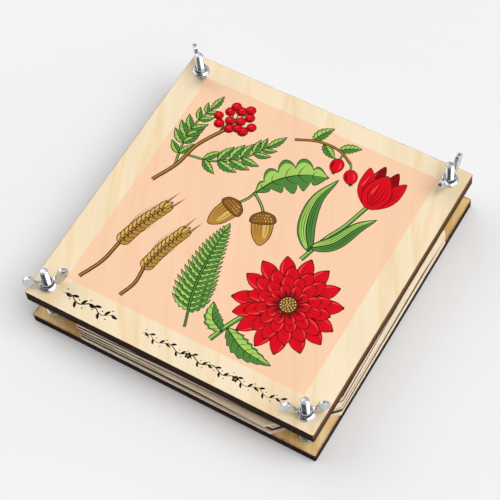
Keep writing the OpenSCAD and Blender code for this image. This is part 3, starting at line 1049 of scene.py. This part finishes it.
# Sheets
# Outline points nearer than this to the line between their neighbours are left out.
STRAIGHT = 0.05
SOFT_EDGE = 0.16
BLOTTER_FRAY, CARD_FRAY = 0.12, 0.05
LINER, FLUTE_PAPER, FLUTE_PITCH, FLUTE_SAMPLES = 0.25, 0.2, 3.0, 10


def sheet_corners(node):
    """The eight corners of a sheet, read from its solid, counter-clockwise."""
    points = [Vector(v.co[:2]) / MM for v in frame["nodes"][node].data.vertices]
    hull = [points[i] for i in convex_hull_2d(points)]
    if area(hull) < 0:
        hull.reverse()
    while True:
        heights = [abs((hull[(k + 1) % len(hull)] - hull[k - 1]).normalized().cross(point - hull[k - 1]))
                   for k, point in enumerate(hull)]
        least = min(range(len(hull)), key=heights.__getitem__)
        if heights[least] > STRAIGHT:
            return hull
        hull.pop(least)


def frayed(points, inset, z, seed, amount):
    """Ring of a soft edge, drawn in by inset and by a little noise."""
    centre = Vector([sum(values) / len(points) for values in zip(*points)])
    ring = []
    for x, y in points:
        way = (Vector((x, y)) - centre).normalized()
        rough = (noise.noise(Vector((x * 0.9, y * 0.9, seed + z))) + 1) / 2 * amount
        ring.append((x - way.x * (inset + rough), y - way.y * (inset + rough), z))
    return ring


def add_blotter(number, material):
    node = f"blotter_{number:02d}"
    low, high = box_mm(node)
    points = divided(sheet_corners(node), 1.5)
    levels = [(low.z, SOFT_EDGE), (low.z + SOFT_EDGE, 0.03), ((low.z + high.z) / 2, 0.0),
              (high.z - SOFT_EDGE, 0.03), (high.z, SOFT_EDGE)]
    form = Form()
    form.loft([frayed(points, inset, z, number * 7.3, BLOTTER_FRAY) for z, inset in levels], ends=(True, True))
    form.piece(f"blotting_paper_{number:02d}", [material], frame["nodes"][node]["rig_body"], "blotting_paper", node, 60)


def add_card(number, liner, inner):
    node = f"card_{number}"
    low, high = box_mm(node)
    corners = sheet_corners(node)
    points = divided(corners, 2.5)
    form = Form()
    for base in (low.z, high.z - LINER):
        levels = [(base, 0.05), (base + LINER / 2, 0.0), (base + LINER, 0.05)]
        form.loft([frayed(points, inset, z, number * 3.1, CARD_FRAY) for z, inset in levels], ends=(True, True))
    add_flutes(form, corners, low.z, high.z)
    body = frame["nodes"][node]["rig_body"]
    form.piece(f"corrugated_card_{number}", [liner, inner], body, "corrugated_card", node, 50)


def add_flutes(form, corners, low, high):
    """The waved paper, with waves across the front edge, cut to the sheet's outline."""
    longest = max(range(8), key=lambda k: (corners[(k + 1) % 8] - corners[k]).x)
    edge = corners[(longest + 1) % 8] - corners[longest]
    way, flat = edge.normalized(), edge.length / 2
    across = Vector((-way.y, way.x))
    centre = sum(corners, Vector((0, 0))) / len(corners)
    half = -(corners[longest] - centre).dot(across)
    count = int(2 * half / FLUTE_PITCH * FLUTE_SAMPLES)
    middle, lift = (low + high) / 2, (high - low) / 2 - LINER - FLUTE_PAPER / 2 + 0.02
    rings = []
    for k in range(count + 1):
        x = -half + 0.06 + (2 * half - 0.12) * k / count
        phase = 2 * pi * x / FLUTE_PITCH
        slope = lift * 2 * pi / FLUTE_PITCH * cos(phase)
        normal = Vector((-slope, 1.0)).normalized() * FLUTE_PAPER / 2
        reach = half - max(0.0, abs(x) - flat) - 0.1
        ring = []
        for side, end in ((-1, -1), (-1, 1), (1, 1), (1, -1)):
            place = centre + way * (x + side * normal.x) + across * reach * end
            ring.append((place.x, place.y, middle + lift * sin(phase) + side * normal.y))
        rings.append(ring)
    form.loft(rings, 1, ends=(True, True))


def add_stack():
    blotting = paper("blotting_paper", srgb(252, 234, 208), srgb(246, 224, 194), 0.35, 0.06)
    # Partly painted shade: kraft is brown of its own, but these browns are darkened to stand for the shade in the
    # flutes and between the sheets.
    liner = paper("kraft_liner_shade_darkened", srgb(114, 90, 66), srgb(98, 76, 54), 0.5, 0.03)
    inner = paper("kraft_medium_shade_darkened", srgb(82, 64, 48), srgb(68, 52, 38), 0.5, 0.03)
    for number in range(1, 11):
        add_blotter(number, blotting)
    for number in range(1, 5):
        add_card(number, liner, inner)


add_camera()
add_world()
add_floor()
add_boards()
add_fasteners()
add_stack()
